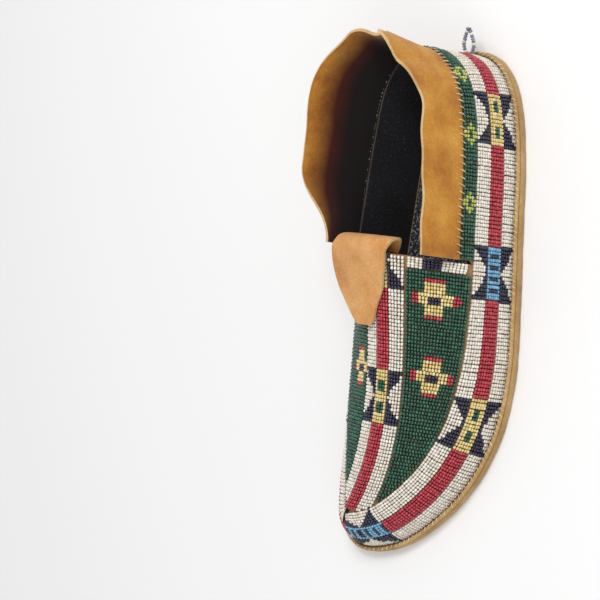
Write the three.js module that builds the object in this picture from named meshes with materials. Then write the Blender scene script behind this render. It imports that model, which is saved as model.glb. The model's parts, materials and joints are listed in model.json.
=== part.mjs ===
// A beaded hide moccasin for the left foot.
// Millimetres, +Z up, toe toward -Y, outer (lateral) side toward +X, sole resting on Z = 0.
// Every soft layer is a surface grid on the same columns, given its thickness by thicken().
import * as THREE from 'three';

// ---- Driving dimensions ----
// Sole edge seen from above: heel, outer side, toe, inner side.
const SOLE_OUTLINE = [
  [-7, 127.5], [10, 122.5], [23, 105], [31, 75], [36, 38], [41, 0], [44, -35], [39, -68], [22, -99],
  [-6, -124], [-34, -132.5], [-50, -122], [-54, -98], [-51, -64], [-45, -30], [-41, 5], [-40, 40],
  [-39, 75], [-36, 103], [-25, 121],
];
const SOLE_THICKNESS = 4.5;
const OUTLINE_STEPS = 96;
const GAP = 0.3; // clearance between neighbouring pieces
const HIDE = 1.5; // hide thickness
const CLOTH = 0.7; // lining thickness
const BEAD = 1.6; // height of the beadwork over the hide
const UPPER_INSET = 4.4; // sole edge to the outer face of the upper
const LANE = 26 / 3; // width of one lane of the border band
const BAND = 3 * LANE;
const ANKLE = 8; // green lane above the band, behind the throat
const ANKLE_START = 1.8; // from the throat to the front end of the ankle lane
const WALL_STEP = 1; // step used to follow the curve of the wall

const THROAT_Y = 19.5; // front edge of the opening
const THROAT_LANE = 5.5;
const RIDGE_X = -1; // highest line of the vamp, at the throat
const RIDGE_Z = 62;
const RIDGE_BEND = 3.3; // how soon the ridge, from the toe, comes into line with the foot
const STRIP_LANE = 7.4; // width of one lane of the centre strip
const FRONT_COLUMNS = 15; // toe to throat
const REAR_COLUMNS = 10; // throat to heel

const COLLAR_STEPS = 4;
const COLLAR_SPLIT = 1; // from the heel seam to each half of the collar
const THREAD = 0.4; // thread radius

// Collar shape from the throat (0) to the heel (1): [place, height, lean from the horizontal].
const COLLAR = {
  lateral: [[0, 24, 82], [0.35, 25, 80], [0.6, 25, 82], [0.85, 34, 84], [1, 42, 94]],
  medial: [[0, 20, 94], [0.3, 34, 119], [0.6, 36, 123], [0.8, 32, 112], [0.92, 30, 95], [1, 34, 92]],
};

const TONGUE_LENGTH = 36; // part lying on the vamp
const TONGUE_HALF = 19;
const TONGUE_TIP_HALF = 4.5;
const TONGUE_SHIFT = { fold: -9, flap: -13, tip: -11 }; // tongue centre from the ridge, toward the inner side
const TONGUE_HIDE = 1.3; // tongue thickness
const TONGUE_ROUNDNESS = 0.2; // how much of the vamp's arch the tongue takes
const TONGUE_LIFT = 3.1; // tongue tip over the hide of the vamp
const FOLD = { y: THROAT_Y + 3.4, dz: 0.8, radius: 3.4 }; // fold of the tongue
const TONGUE_ROOT = { half: 10, shift: -6 };
const INSOLE = { inset: 9.4, thickness: 2.5 };
const WELT = { inset: 1.25, half: 0.85, height: 1.8 };
const HEEL_LOOP = { z: 10, length: 12, half: 3.2, radius: 1.1, clear: 2.6, rise: 0.25 };

const COLOURS = {
  sole: 0xb98a4a, welt: 0xc99a55, hide: 0xc98a3c, collar: 0xc47f2c, tongue: 0xd39a5e, lining: 0x17151a,
  insole: 0x2a2a30, white: 0xe9e2d4, red: 0xb8283a, green: 0x1e5a42, blue: 0x7d97a8, thread: 0xe3d3b0,
};

// ---- Small helpers ----
const RAD = Math.PI / 180;
const mix = (a, b, t) => a + (b - a) * t;
const smooth = (x, a, b) => THREE.MathUtils.smoothstep(x, a, b);
const SIDES = ['lateral', 'medial'];

// Values of a list of stops [place, a, b, ...] at one place, eased between stops.
function profile(stops, place) {
  let i = 1;
  while (i < stops.length - 1 && place > stops[i][0]) i += 1;
  const [from, to] = [stops[i - 1], stops[i]];
  return from.slice(1).map((value, k) => mix(value, to[k + 1], smooth(place, from[0], to[0])));
}

// ---- The sole's edge and the wall that rises from it ----
const outline = new THREE.CatmullRomCurve3(
  SOLE_OUTLINE.map(([x, y]) => new THREE.Vector3(x, y, 0)), true, 'catmullrom', 0.5);
outline.arcLengthDivisions = 2000;

// A length in millimetres as a change of s toward the heel on one side.
const heelward = (side, length) => ((side === 'lateral' ? -1 : 1) * length) / outline.getLength();

// A point of the sole's edge and the direction toward the inside, at s = 0..1 round the sole.
function edge(s) {
  const point = outline.getPointAt(((s % 1) + 1) % 1);
  const tangent = outline.getTangentAt(((s % 1) + 1) % 1);
  return { point, inward: new THREE.Vector3(tangent.y, -tangent.x, 0) };
}

function insetPoint(s, inset, z) {
  const { point, inward } = edge(s);
  return point.addScaledVector(inward, inset).setZ(z);
}

// The wall starts upright, leans in toward the toe, and leans out on the inner side of the heel.
function wallPoint(s, height) {
  const { point, inward } = edge(s);
  const toe = smooth(-point.y, -20, 115);
  const inner = smooth(inward.x, -0.7, 0.9);
  const bottom = mix(86 + 7 * inner, 74, toe);
  const top = mix(77 + 20 * inner, 24, toe);
  const steps = Math.max(1, Math.round(height / WALL_STEP));
  const length = height / steps;
  const place = point.clone().addScaledVector(inward, UPPER_INSET).setZ(SOLE_THICKNESS + GAP);
  for (let i = 0; i < steps; i += 1) {
    const along = Math.min(1, ((i + 0.5) * length) / BAND);
    const slope = mix(bottom, top, along ** 1.2) * RAD;
    place.addScaledVector(inward, Math.cos(slope) * length);
    place.z += Math.sin(slope) * length;
  }
  return place;
}

// ---- Columns: places round the shoe, the same for every layer ----
function findToe() {
  let best = 0.5;
  for (let s = 0.4; s < 0.6; s += 0.0005) {
    if (wallPoint(s, BAND).y < wallPoint(best, BAND).y) best = s;
  }
  return best;
}
const toeS = findToe();
const toeTop = wallPoint(toeS, BAND);

// The place on one side where the top of the band has the given Y.
function findColumn(side, y) {
  let [near, far] = [toeS, side === 'lateral' ? 0 : 1];
  for (let i = 0; i < 40; i += 1) {
    const middle = (near + far) / 2;
    if (wallPoint(middle, BAND).y < y) near = middle;
    else far = middle;
  }
  return near;
}

const frontY = [];
for (let i = 0; i < FRONT_COLUMNS; i += 1) {
  frontY.push(mix(toeTop.y, THROAT_Y - THROAT_LANE, (i / (FRONT_COLUMNS - 1)) ** 2));
}
frontY.push(THROAT_Y);

function columnsOf(side) {
  const columns = frontY.map((y, i) => (i === 0 ? toeS : findColumn(side, y)));
  const heel = side === 'lateral' ? 0 : 1;
  const throat = columns[FRONT_COLUMNS];
  for (let i = 1; i <= REAR_COLUMNS; i += 1) columns.push(mix(throat, heel, i / REAR_COLUMNS));
  return columns;
}
const COLUMNS = { lateral: columnsOf('lateral'), medial: columnsOf('medial') };
const HEEL_COLUMN = FRONT_COLUMNS + REAR_COLUMNS;

// A place on the wall: above the band, the wall starts a little behind the throat.
function wallAt(side, column, height) {
  const back = column === FRONT_COLUMNS && height > BAND ? ANKLE_START : 0;
  return wallPoint(COLUMNS[side][column] + heelward(side, back), height);
}

// ---- The vamp: an arch from the band on one side to the band on the other ----
function ridgeAt(y) {
  const t = Math.max(0, (y - toeTop.y) / (THROAT_Y - toeTop.y));
  return { x: mix(toeTop.x, RIDGE_X, 1 - (1 - Math.min(t, 1)) ** RIDGE_BEND), z: mix(toeTop.z, RIDGE_Z, t) };
}

function vampAt(side, column, distance) {
  const foot = wallAt(side, column, BAND);
  const ridge = ridgeAt(frontY[column]);
  const half = Math.abs(foot.x - ridge.x);
  const d = Math.min(distance, half);
  const away = side === 'lateral' ? 1 : -1;
  const arch = half > 0 ? Math.cos((Math.PI / 2) * (d / half)) : 1;
  return new THREE.Vector3(ridge.x + away * d, frontY[column], mix(foot.z, ridge.z, arch));
}

const halfWidth = (side, column) => Math.abs(wallAt(side, column, BAND).x - ridgeAt(frontY[column]).x);

// ---- Surface grids and solids ----
// A sheet is a list of columns of points; flip turns its outside round.
const sheet = (columns, flip = false) => ({ columns, flip });

function weld(sheets) {
  const points = [];
  const seen = new Map();
  const faces = [];
  const indexOf = (point) => {
    const key = point.toArray().map((value) => Math.round(value * 1000)).join();
    if (!seen.has(key)) {
      seen.set(key, points.length);
      points.push(point);
    }
    return seen.get(key);
  };
  const addFace = (a, b, c, flip) => {
    if (a !== b && b !== c && c !== a) faces.push(flip ? [a, c, b] : [a, b, c]);
  };
  for (const { columns, flip } of sheets) {
    const grid = columns.map((column) => column.map(indexOf));
    for (let i = 0; i + 1 < grid.length; i += 1) {
      for (let j = 0; j + 1 < grid[i].length; j += 1) {
        const [a, b, c, d] = [grid[i][j], grid[i + 1][j], grid[i + 1][j + 1], grid[i][j + 1]];
        addFace(a, b, c, flip);
        addFace(a, c, d, flip);
      }
    }
  }
  return { points, faces };
}

function vertexNormals({ points, faces }) {
  const normals = points.map(() => new THREE.Vector3());
  for (const [a, b, c] of faces) {
    const u = points[b].clone().sub(points[a]);
    const v = points[c].clone().sub(points[a]);
    const area = u.cross(v);
    for (const i of [a, b, c]) normals[i].add(area);
  }
  return normals.map((normal) => normal.normalize());
}

function borderEdges(faces) {
  const count = new Map();
  for (const [a, b, c] of faces) {
    for (const [p, q] of [[a, b], [b, c], [c, a]]) count.set(`${p},${q}`, [p, q]);
  }
  return [...count.values()].filter(([p, q]) => !count.has(`${q},${p}`));
}

const FLOOR = SOLE_THICKNESS + GAP; // lowest place of everything that stands on the sole

// The solid between two distances from the sheets, measured outward.
function thicken(sheets, inner, outer) {
  const surface = weld(sheets);
  const normals = vertexNormals(surface);
  const { points, faces } = surface;
  const n = points.length;
  const shift = (distance) => points.map((point, i) => {
    const moved = point.clone().addScaledVector(normals[i], distance);
    return moved.setZ(Math.max(moved.z, FLOOR));
  });
  const vertices = [...shift(outer), ...shift(inner)];
  const triangles = [];
  for (const [a, b, c] of faces) triangles.push(a, b, c, n + a, n + c, n + b);
  for (const [p, q] of borderEdges(faces)) triangles.push(p, n + p, n + q, p, n + q, q);
  const geometry = new THREE.BufferGeometry();
  const coordinates = vertices.flatMap((vertex) => vertex.toArray());
  geometry.setAttribute('position', new THREE.Float32BufferAttribute(coordinates, 3));
  geometry.setIndex(triangles);
  geometry.computeVertexNormals();
  return geometry;
}

function tube(points, radius, steps) {
  const section = new THREE.Shape().absarc(0, 0, radius, 0, 2 * Math.PI);
  const extrudePath = new THREE.CatmullRomCurve3(points);
  return new THREE.ExtrudeGeometry(section, { curveSegments: 3, steps, extrudePath });
}

function plate(inset, z, thickness) {
  const shape = new THREE.Shape();
  for (let i = 0; i < OUTLINE_STEPS; i += 1) {
    const point = insetPoint(i / OUTLINE_STEPS, inset, 0);
    if (i === 0) shape.moveTo(point.x, point.y);
    else shape.lineTo(point.x, point.y);
  }
  const geometry = new THREE.ExtrudeGeometry(shape, { depth: thickness, bevelEnabled: false });
  return geometry.translate(0, 0, z);
}

const range = (from, to) => Array.from({ length: to - from + 1 }, (_, i) => from + i);
const between = (from, to, steps) => range(0, steps).map((i) => mix(from, to, i / steps));

const group = new THREE.Group();
function add(name, geometry, color, roughness = 0.9) {
  const material = new THREE.MeshStandardMaterial({ color, roughness, metalness: 0 });
  const mesh = new THREE.Mesh(geometry, material);
  mesh.name = name;
  group.add(mesh);
}

// ---- Sole, welt and insole ----
function addBottom() {
  add('sole', plate(0, 0, SOLE_THICKNESS), COLOURS.sole, 0.7);
  add('insole', plate(INSOLE.inset, SOLE_THICKNESS + GAP, INSOLE.thickness), COLOURS.insole);
  const low = SOLE_THICKNESS + GAP;
  const rim = range(0, OUTLINE_STEPS).map((i) => [low, low + WELT.height].map((z) => (
    insetPoint(i / OUTLINE_STEPS, WELT.inset, z))));
  add('welt', thicken([sheet(rim, true)], -WELT.half, WELT.half), COLOURS.welt, 0.8);
  const stitchZ = low + WELT.height + GAP + THREAD;
  const seam = between(0.004, 0.996, 72).map((s) => insetPoint(s, WELT.inset, stitchZ));
  add('sole_seam_thread', tube(seam, THREAD, 96), COLOURS.thread);
}

// ---- Hide upper and its cloth lining ----
const WALL_ROWS = between(0, BAND, 6);
const REAR_ROWS = [...WALL_ROWS, BAND + ANKLE / 2, BAND + ANKLE];

// Distances from the ridge, in from the band: the panel first, then the strip lanes.
function vampRows(side, column) {
  const strip = STRIP_LANE * 1.5;
  return [...between(Math.max(strip, halfWidth(side, column)), strip, 4), STRIP_LANE / 2, 0];
}

function upperSheets(side) {
  const flip = side === 'medial';
  const front = range(0, FRONT_COLUMNS).map((column) => {
    const wall = WALL_ROWS.map((height) => wallAt(side, column, height));
    const vamp = vampRows(side, column).map((d) => vampAt(side, column, d));
    return [...wall, ...vamp];
  });
  const rear = range(FRONT_COLUMNS, HEEL_COLUMN).map((column) => (
    REAR_ROWS.map((height) => wallAt(side, column, height))));
  return [sheet(front, flip), sheet(rear, flip)];
}

function addUpper() {
  const sheets = SIDES.flatMap(upperSheets);
  add('upper', thicken(sheets, -HIDE, 0), COLOURS.hide);
  add('lining', thicken(sheets, -HIDE - GAP - CLOTH, -HIDE - GAP), COLOURS.lining);
}

// ---- Beadwork: every lane is its own run of sewn beads ----
const beadwork = (sheets) => thicken(sheets, GAP, GAP + BEAD);
const HALF_GAP = GAP / 2;
const HEEL_SEAM = 1.1; // bare hide on each side of the heel seam

function laneSheet(side, from, bottom, top) {
  const places = range(from, HEEL_COLUMN).map((column) => COLUMNS[side][column]);
  places[0] += heelward(side, from === 0 ? HALF_GAP : ANKLE_START);
  places[places.length - 1] -= heelward(side, HEEL_SEAM);
  const rows = [bottom + HALF_GAP, (bottom + top) / 2, top - HALF_GAP];
  return sheet(places.map((s) => rows.map((height) => wallPoint(s, height))), side === 'medial');
}

function addBand() {
  const lanes = [['lower', COLOURS.white], ['middle', COLOURS.red], ['upper', COLOURS.white]];
  lanes.forEach(([name, colour], i) => {
    for (const side of SIDES) {
      const lane = laneSheet(side, 0, i * LANE, (i + 1) * LANE);
      add(`band_${name}_lane_${side}`, beadwork([lane]), colour, 0.3);
    }
  });
  for (const side of SIDES) {
    const lane = laneSheet(side, FRONT_COLUMNS, BAND, BAND + ANKLE);
    add(`ankle_lane_${side}`, beadwork([lane]), COLOURS.green, 0.3);
  }
}

// A patch of the vamp between two distances from the ridge.
function vampPatch(side, from, to, rowsOf) {
  const columns = range(from, to).map((column) => rowsOf(column).map((d) => vampAt(side, column, d)));
  return sheet(columns, side === 'medial');
}

const STRIP_START = 3; // first column of the centre strip
const PANEL_START = 4; // first column where the panel has any width

function panelRows(side, column) {
  const inner = STRIP_LANE * 1.5 + HALF_GAP;
  return between(Math.max(inner + GAP, halfWidth(side, column) - GAP), inner, 4);
}

// Moves the ends of a patch inward, so that it stays clear of the next piece.
function trimEnds(patch, start, end) {
  const { columns } = patch;
  const pull = (column, neighbour, distance) => column.map((point, j) => {
    const step = neighbour[j].clone().sub(point).setLength(distance);
    return point.clone().add(step);
  });
  const last = columns.length - 1;
  const trimmed = [...columns];
  if (start > 0) trimmed[0] = pull(columns[0], columns[1], start);
  if (end > 0) trimmed[last] = pull(columns[last], columns[last - 1], end);
  return { ...patch, columns: trimmed };
}

function addVamp() {
  const throat = FRONT_COLUMNS;
  for (const side of SIDES) {
    const rows = (column) => panelRows(side, column);
    const panel = trimEnds(vampPatch(side, PANEL_START, throat - 1, rows), 0, HALF_GAP);
    add(`vamp_panel_${side}`, beadwork([panel]), COLOURS.green, 0.3);
    const rim = trimEnds(vampPatch(side, throat - 1, throat, rows), HALF_GAP, HALF_GAP);
    add(`throat_lane_${side}`, beadwork([rim]), COLOURS.white, 0.3);
    const lane = (column) => [STRIP_LANE * 1.5 - HALF_GAP, STRIP_LANE / 2 + HALF_GAP]
      .map((d) => Math.min(d, halfWidth(side, column) - GAP));
    const strip = trimEnds(vampPatch(side, STRIP_START, throat, lane), 0, HALF_GAP);
    add(`vamp_strip_lane_${side}`, beadwork([strip]), COLOURS.white, 0.3);
  }
  const half = () => [STRIP_LANE / 2 - HALF_GAP, 0];
  const centre = SIDES.map((side) => trimEnds(vampPatch(side, STRIP_START, throat, half), 0, HALF_GAP));
  add('vamp_strip_lane_centre', beadwork(centre), COLOURS.red, 0.3);
}

// ---- Collar ----
const COLLAR_BASE = BAND + ANKLE + 0.5;

function collarPoint(side, column, along) {
  const place = (column - FRONT_COLUMNS) / REAR_COLUMNS;
  const [height, lean] = profile(COLLAR[side], place);
  let s = COLUMNS[side][column];
  if (column === FRONT_COLUMNS) s += heelward(side, ANKLE_START);
  if (column === HEEL_COLUMN) s -= heelward(side, COLLAR_SPLIT);
  const { inward } = edge(s);
  const point = wallPoint(s, COLLAR_BASE);
  point.addScaledVector(inward, Math.cos(lean * RAD) * height * along);
  point.z += Math.sin(lean * RAD) * height * along;
  return point;
}

function addCollar(side) {
  const columns = range(FRONT_COLUMNS, HEEL_COLUMN);
  const rows = between(0, 1, COLLAR_STEPS);
  const grid = columns.map((column) => rows.map((along) => collarPoint(side, column, along)));
  add(`collar_${side}`, thicken([sheet(grid, side === 'medial')], -HIDE / 2, HIDE / 2), COLOURS.collar);
  const clear = HIDE / 2 + GAP + THREAD;
  const seam = columns.map((column) => {
    const point = collarPoint(side, column, 0.02);
    return point.addScaledVector(edge(COLUMNS[side][column]).inward, -clear);
  });
  add(`collar_seam_thread_${side}`, tube(seam, THREAD, 24), COLOURS.thread);
}

// ---- Heel seam and heel loop ----
function addHeel() {
  const offset = -(GAP + THREAD);
  const seam = between(13, BAND + ANKLE - 0.5, 8).map((height) => (
    wallPoint(0, height).addScaledVector(edge(0).inward, offset)));
  add('heel_seam_thread', tube(seam, THREAD, 16), COLOURS.thread);
  const root = wallPoint(0, HEEL_LOOP.z - SOLE_THICKNESS);
  const { half, length, clear } = HEEL_LOOP;
  const y = root.y + clear;
  const shape = [[-0.6, 0], [-1, 0.3], [-0.75, 0.62], [0, 1], [0.75, 0.62], [1, 0.3], [0.6, 0]];
  const route = shape.map(([across, out]) => (
    new THREE.Vector3(root.x + across * half, y + out * length, root.z + out * length * HEEL_LOOP.rise)));
  add('heel_loop', tube(route, HEEL_LOOP.radius, 30), COLOURS.blue, 0.6);
}

// ---- Tongue: folded forward over the vamp, its root sewn inside the throat ----
// across: distance from the ridge; roundness: share of the vamp's arch that the sheet follows.
function tonguePoint(y, dz, across, roundness) {
  const ridge = ridgeAt(Math.min(y, THROAT_Y));
  const foot = wallAt('lateral', FRONT_COLUMNS, BAND);
  const half = foot.x - ridge.x;
  const arch = Math.cos((Math.PI / 2) * Math.min(1, Math.abs(across) / half));
  const z = ridge.z + (foot.z - ridge.z) * (1 - arch) * roundness + dz;
  return new THREE.Vector3(ridge.x + across, y, z);
}

// Rows of [y, height over the ridge, half width, centre from the ridge].
function tongueSheet(rows, roundness) {
  return sheet(rows.map(([y, dz, half, shift]) => (
    between(-1, 1, 6).map((t) => tonguePoint(y, dz, shift + t * half, roundness)))), true);
}

function addTongue() {
  const fold = [0, 45, 90].map((angle) => [
    FOLD.y + FOLD.radius * Math.cos(angle * RAD),
    FOLD.dz + FOLD.radius * Math.sin(angle * RAD),
    TONGUE_HALF,
    mix(TONGUE_SHIFT.fold, TONGUE_SHIFT.flap, angle / 180),
  ]);
  const flap = between(0, 1, 7).map((t) => [
    THROAT_Y - t * TONGUE_LENGTH,
    mix(FOLD.dz + FOLD.radius, TONGUE_LIFT, smooth(t, 0, 0.6)),
    mix(TONGUE_HALF, TONGUE_TIP_HALF, t ** 2.2),
    mix(TONGUE_SHIFT.flap, TONGUE_SHIFT.tip, t),
  ]);
  const flapSheet = tongueSheet([...fold, ...flap], TONGUE_ROUNDNESS);
  add('tongue_flap', thicken([flapSheet], -TONGUE_HIDE / 2, TONGUE_HIDE / 2), COLOURS.tongue);
  const root = [[4.6, -5.2], [2, -6.4], [-4, -5.2], [-12, -4.8]].map(([dy, dz]) => (
    [THROAT_Y + dy, dz, TONGUE_ROOT.half, TONGUE_ROOT.shift]));
  const rootSheet = tongueSheet(root, 1);
  add('tongue_root', thicken([rootSheet], -TONGUE_HIDE / 2, TONGUE_HIDE / 2), COLOURS.tongue);
}

addBottom();
addUpper();
addBand();
addVamp();
SIDES.forEach(addCollar);
addHeel();
addTongue();

export default group;
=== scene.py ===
"""A beaded hide moccasin for the left foot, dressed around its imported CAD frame.

Shapes are worked out in millimetres on the same surfaces as the CAD part, and MM turns them into metres.
"""

import json
import math

import bmesh
import bpy
import numpy as np
from mathutils import Matrix, Vector


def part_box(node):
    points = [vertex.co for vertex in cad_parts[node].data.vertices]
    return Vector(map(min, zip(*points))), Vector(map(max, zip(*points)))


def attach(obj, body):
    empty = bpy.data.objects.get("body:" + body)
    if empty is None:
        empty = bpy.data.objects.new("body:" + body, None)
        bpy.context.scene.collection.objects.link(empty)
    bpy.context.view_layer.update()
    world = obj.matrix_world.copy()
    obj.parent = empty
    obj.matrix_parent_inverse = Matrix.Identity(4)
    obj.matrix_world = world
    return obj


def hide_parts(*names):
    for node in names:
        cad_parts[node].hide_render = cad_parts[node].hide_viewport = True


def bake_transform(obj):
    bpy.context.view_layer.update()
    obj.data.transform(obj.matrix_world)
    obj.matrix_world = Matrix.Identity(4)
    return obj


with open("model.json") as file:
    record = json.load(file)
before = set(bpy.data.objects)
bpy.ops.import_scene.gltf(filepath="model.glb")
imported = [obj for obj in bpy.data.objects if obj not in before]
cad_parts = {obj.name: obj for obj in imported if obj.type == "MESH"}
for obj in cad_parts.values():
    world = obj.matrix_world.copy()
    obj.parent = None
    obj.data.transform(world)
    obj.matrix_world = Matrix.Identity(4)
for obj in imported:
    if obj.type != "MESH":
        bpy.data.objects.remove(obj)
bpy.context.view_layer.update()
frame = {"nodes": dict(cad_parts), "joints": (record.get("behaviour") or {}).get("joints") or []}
SOLE_LOW, SOLE_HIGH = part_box("sole")
SOLE_LENGTH = 260.0
MM = (SOLE_HIGH[1] - SOLE_LOW[1]) / SOLE_LENGTH  # metres in one design millimetre
RNG = np.random.default_rng(12)

# ---- Driving dimensions, in millimetres ----
# The sole's edge from above: heel, outer side, toe, inner side.
SOLE_OUTLINE = [
    (-7, 127.5), (10, 122.5), (23, 105), (31, 75), (36, 38), (41, 0), (44, -35), (39, -68), (22, -99),
    (-6, -124), (-34, -132.5), (-50, -122), (-54, -98), (-51, -64), (-45, -30), (-41, 5), (-40, 40),
    (-39, 75), (-36, 103), (-25, 121),
]
SOLE_THICKNESS = 4.5
FLOOR_Z = 4.8  # lowest place of everything that stands on the sole
HIDE = 1.5
CLOTH = 0.7
GAP = 0.3  # clearance between neighbouring layers
UPPER_INSET = 4.4
LANE = 26 / 3
BAND = 3 * LANE
ANKLE = 8
ANKLE_START = 1.8
THROAT_Y = 19.5
THROAT_LANE = 5.5
RIDGE_X, RIDGE_Z = -1, 62
RIDGE_BEND = 3.3  # how soon the ridge, from the toe, comes into line with the foot
STRIP_LANE = 7.4
COLLAR_BASE = BAND + ANKLE + 0.5
COLLAR_SPLIT = 1  # from the heel seam to each half of the collar

# Place from throat to heel, height, and lean from the horizontal in degrees.
COLLAR = {
    "lateral": [(0, 24, 82), (0.35, 25, 80), (0.6, 25, 82), (0.85, 34, 84), (1, 42, 94)],
    "medial": [(0, 20, 94), (0.3, 34, 119), (0.6, 36, 123), (0.8, 32, 112), (0.92, 30, 95), (1, 34, 92)],
}

# Slope of the wall at its foot and at the top of the band, in degrees; WALL_INNER is added on the inner side.
WALL_BOTTOM, WALL_TOP = 86, 77
TOE_BOTTOM, TOE_TOP_SLOPE = 74, 24
WALL_INNER = (7, 20)
WALL_STEPS = 30

BEAD_PITCH = 1.85  # from one row of beads to the next
BEAD_RADIUS = 0.93
BEAD_LENGTH = 1.44  # along its thread
BEAD_SEAT = 1.05  # bead centre over the hide
LANE_HUMP = 0.45  # how much the middle of a row stands above its ends

SIDES = ("lateral", "medial")
SIGN = {"lateral": 1, "medial": -1}


# ---- Numbers ----
def mix(a, b, t):
    return a + (b - a) * t


def smooth(x, low, high):
    t = np.clip((x - low) / (high - low), 0, 1)
    return t * t * (3 - 2 * t)


def unit(vectors):
    return vectors / np.maximum(np.linalg.norm(vectors, axis=-1, keepdims=True), 1e-9)


def stops(table, column, place):
    """A column of a table of stops at each place, eased between the stops."""
    place = np.asarray(place, float)
    value = np.full(place.shape, float(table[0][column]))
    for low, high in zip(table, table[1:]):
        eased = mix(low[column], high[column], smooth(place, low[0], high[0]))
        value = np.where(place >= low[0], eased, value)
    return value


# ---- The sole's edge and the wall that rises from it ----
def catmull_rom(points, steps, closed=True):
    """A smooth curve through points, with steps points to each span."""
    points = np.array(points, float)
    count = len(points)
    last = count if closed else count - 1
    curve = []
    for i in range(last):
        ring = [(i + k) % count if closed else min(max(i + k, 0), count - 1) for k in (-1, 0, 1, 2)]
        a, b, c, d = points[ring]
        for t in np.arange(steps) / steps:
            curve.append(0.5 * (2 * b + (c - a) * t + (2 * a - 5 * b + 4 * c - d) * t**2
                                + (3 * b - a - 3 * c + d) * t**3))
    if not closed:
        curve.append(points[-1])
    return np.array(curve)


def even_curve(curve, count):
    """The same closed curve as points at even distances, and its length."""
    ring = np.vstack([curve, curve[:1]])
    along = np.r_[0, np.cumsum(np.linalg.norm(np.diff(ring, axis=0), axis=1))]
    places = np.linspace(0, along[-1], count, endpoint=False)
    return np.stack([np.interp(places, along, ring[:, k]) for k in range(2)], 1), along[-1]


EDGE, PERIMETER = even_curve(catmull_rom(SOLE_OUTLINE, 60), 1440)


def edge(s):
    """Points of the sole's edge and directions toward the inside, for s from 0 to 1 round the sole."""
    place = np.asarray(s, float) % 1 * len(EDGE)
    index = np.floor(place).astype(int)
    part = (place - index)[..., None]
    point = mix(EDGE[index % len(EDGE)], EDGE[(index + 1) % len(EDGE)], part)
    tangent = unit(EDGE[(index + 7) % len(EDGE)] - EDGE[(index - 6) % len(EDGE)])
    return point, np.stack([tangent[..., 1], -tangent[..., 0]], -1)


def inset_point(s, inset, z):
    point, inward = edge(s)
    flat = point + inward * np.asarray(inset)[..., None]
    return np.concatenate([flat, np.broadcast_to(z, flat.shape[:-1])[..., None]], -1)


def wall(s, height):
    """Points of the hide's outer face: upright at the sole, leaning in over the toe."""
    s, height = np.broadcast_arrays(np.asarray(s, float), np.asarray(height, float))
    point, inward = edge(s)
    toe = smooth(-point[..., 1], -20, 115)
    inner = smooth(inward[..., 0], -0.7, 0.9)
    bottom = mix(WALL_BOTTOM + WALL_INNER[0] * inner, TOE_BOTTOM, toe)
    top = mix(WALL_TOP + WALL_INNER[1] * inner, TOE_TOP_SLOPE, toe)
    inset = np.full(s.shape, UPPER_INSET)
    z = np.full(s.shape, FLOOR_Z)
    step = height / WALL_STEPS
    for i in range(WALL_STEPS):
        along = np.clip((i + 0.5) * step / BAND, 0, 1)
        slope = np.radians(mix(bottom, top, along**1.2))
        inset = inset + np.cos(slope) * step
        z = z + np.sin(slope) * step
    return np.concatenate([point + inward * inset[..., None], z[..., None]], -1)


# ---- The top of the band, the throat and the vamp ----
RIM_S = np.linspace(0, 1, 4001)
RIM = wall(RIM_S, BAND)
TOE_INDEX = int(np.argmin(RIM[:, 1]))
TOE_S = RIM_S[TOE_INDEX]
TOE_TOP = RIM[TOE_INDEX]


def rim_branch(side):
    """Places on one side by rising Y: the places and their points at the top of the band."""
    part = slice(0, TOE_INDEX + 1) if side == "lateral" else slice(TOE_INDEX, len(RIM))
    order = np.argsort(RIM[part, 1], kind="stable")
    return RIM_S[part][order], RIM[part][order]


BRANCH = {side: rim_branch(side) for side in SIDES}


def s_at(side, y):
    places, points = BRANCH[side]
    return np.interp(y, points[:, 1], places)


def foot_at(side, y):
    _, points = BRANCH[side]
    return np.stack([np.interp(y, points[:, 1], points[:, k]) for k in range(3)], -1)


THROAT_S = {side: float(s_at(side, THROAT_Y)) for side in SIDES}
HEEL_S = {"lateral": 0.0, "medial": 1.0}


def ridge_at(y):
    t = np.maximum(0, (y - TOE_TOP[1]) / (THROAT_Y - TOE_TOP[1]))
    x = mix(TOE_TOP[0], RIDGE_X, 1 - (1 - np.minimum(t, 1)) ** RIDGE_BEND)
    return x, mix(TOE_TOP[2], RIDGE_Z, t)


def half_width(side, y):
    return np.abs(foot_at(side, y)[..., 0] - ridge_at(y)[0])


def vamp(y, across):
    """Points of the vamp at a distance across from the ridge, positive toward the lateral side."""
    y, across = np.broadcast_arrays(np.asarray(y, float), np.asarray(across, float))
    ridge_x, ridge_z = ridge_at(y)
    lateral = (across >= 0)[..., None]
    foot = np.where(lateral, foot_at("lateral", y), foot_at("medial", y))
    half = np.maximum(np.abs(foot[..., 0] - ridge_x), 1e-6)
    distance = np.minimum(np.abs(across), half)
    arch = np.cos(np.pi / 2 * distance / half)
    z = mix(foot[..., 2], ridge_z, arch)
    return np.stack([ridge_x + np.sign(across) * distance, y, z], -1)


# ---- Meshes ----
SHARP_DEGREES = 50  # an edge that turns more than this is shaded sharp
THREAD_TAPER = 0.55  # radius of a thread's ends as a share of the rest
WELD_GRID = 500  # points closer than 1 / WELD_GRID mm are one


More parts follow.
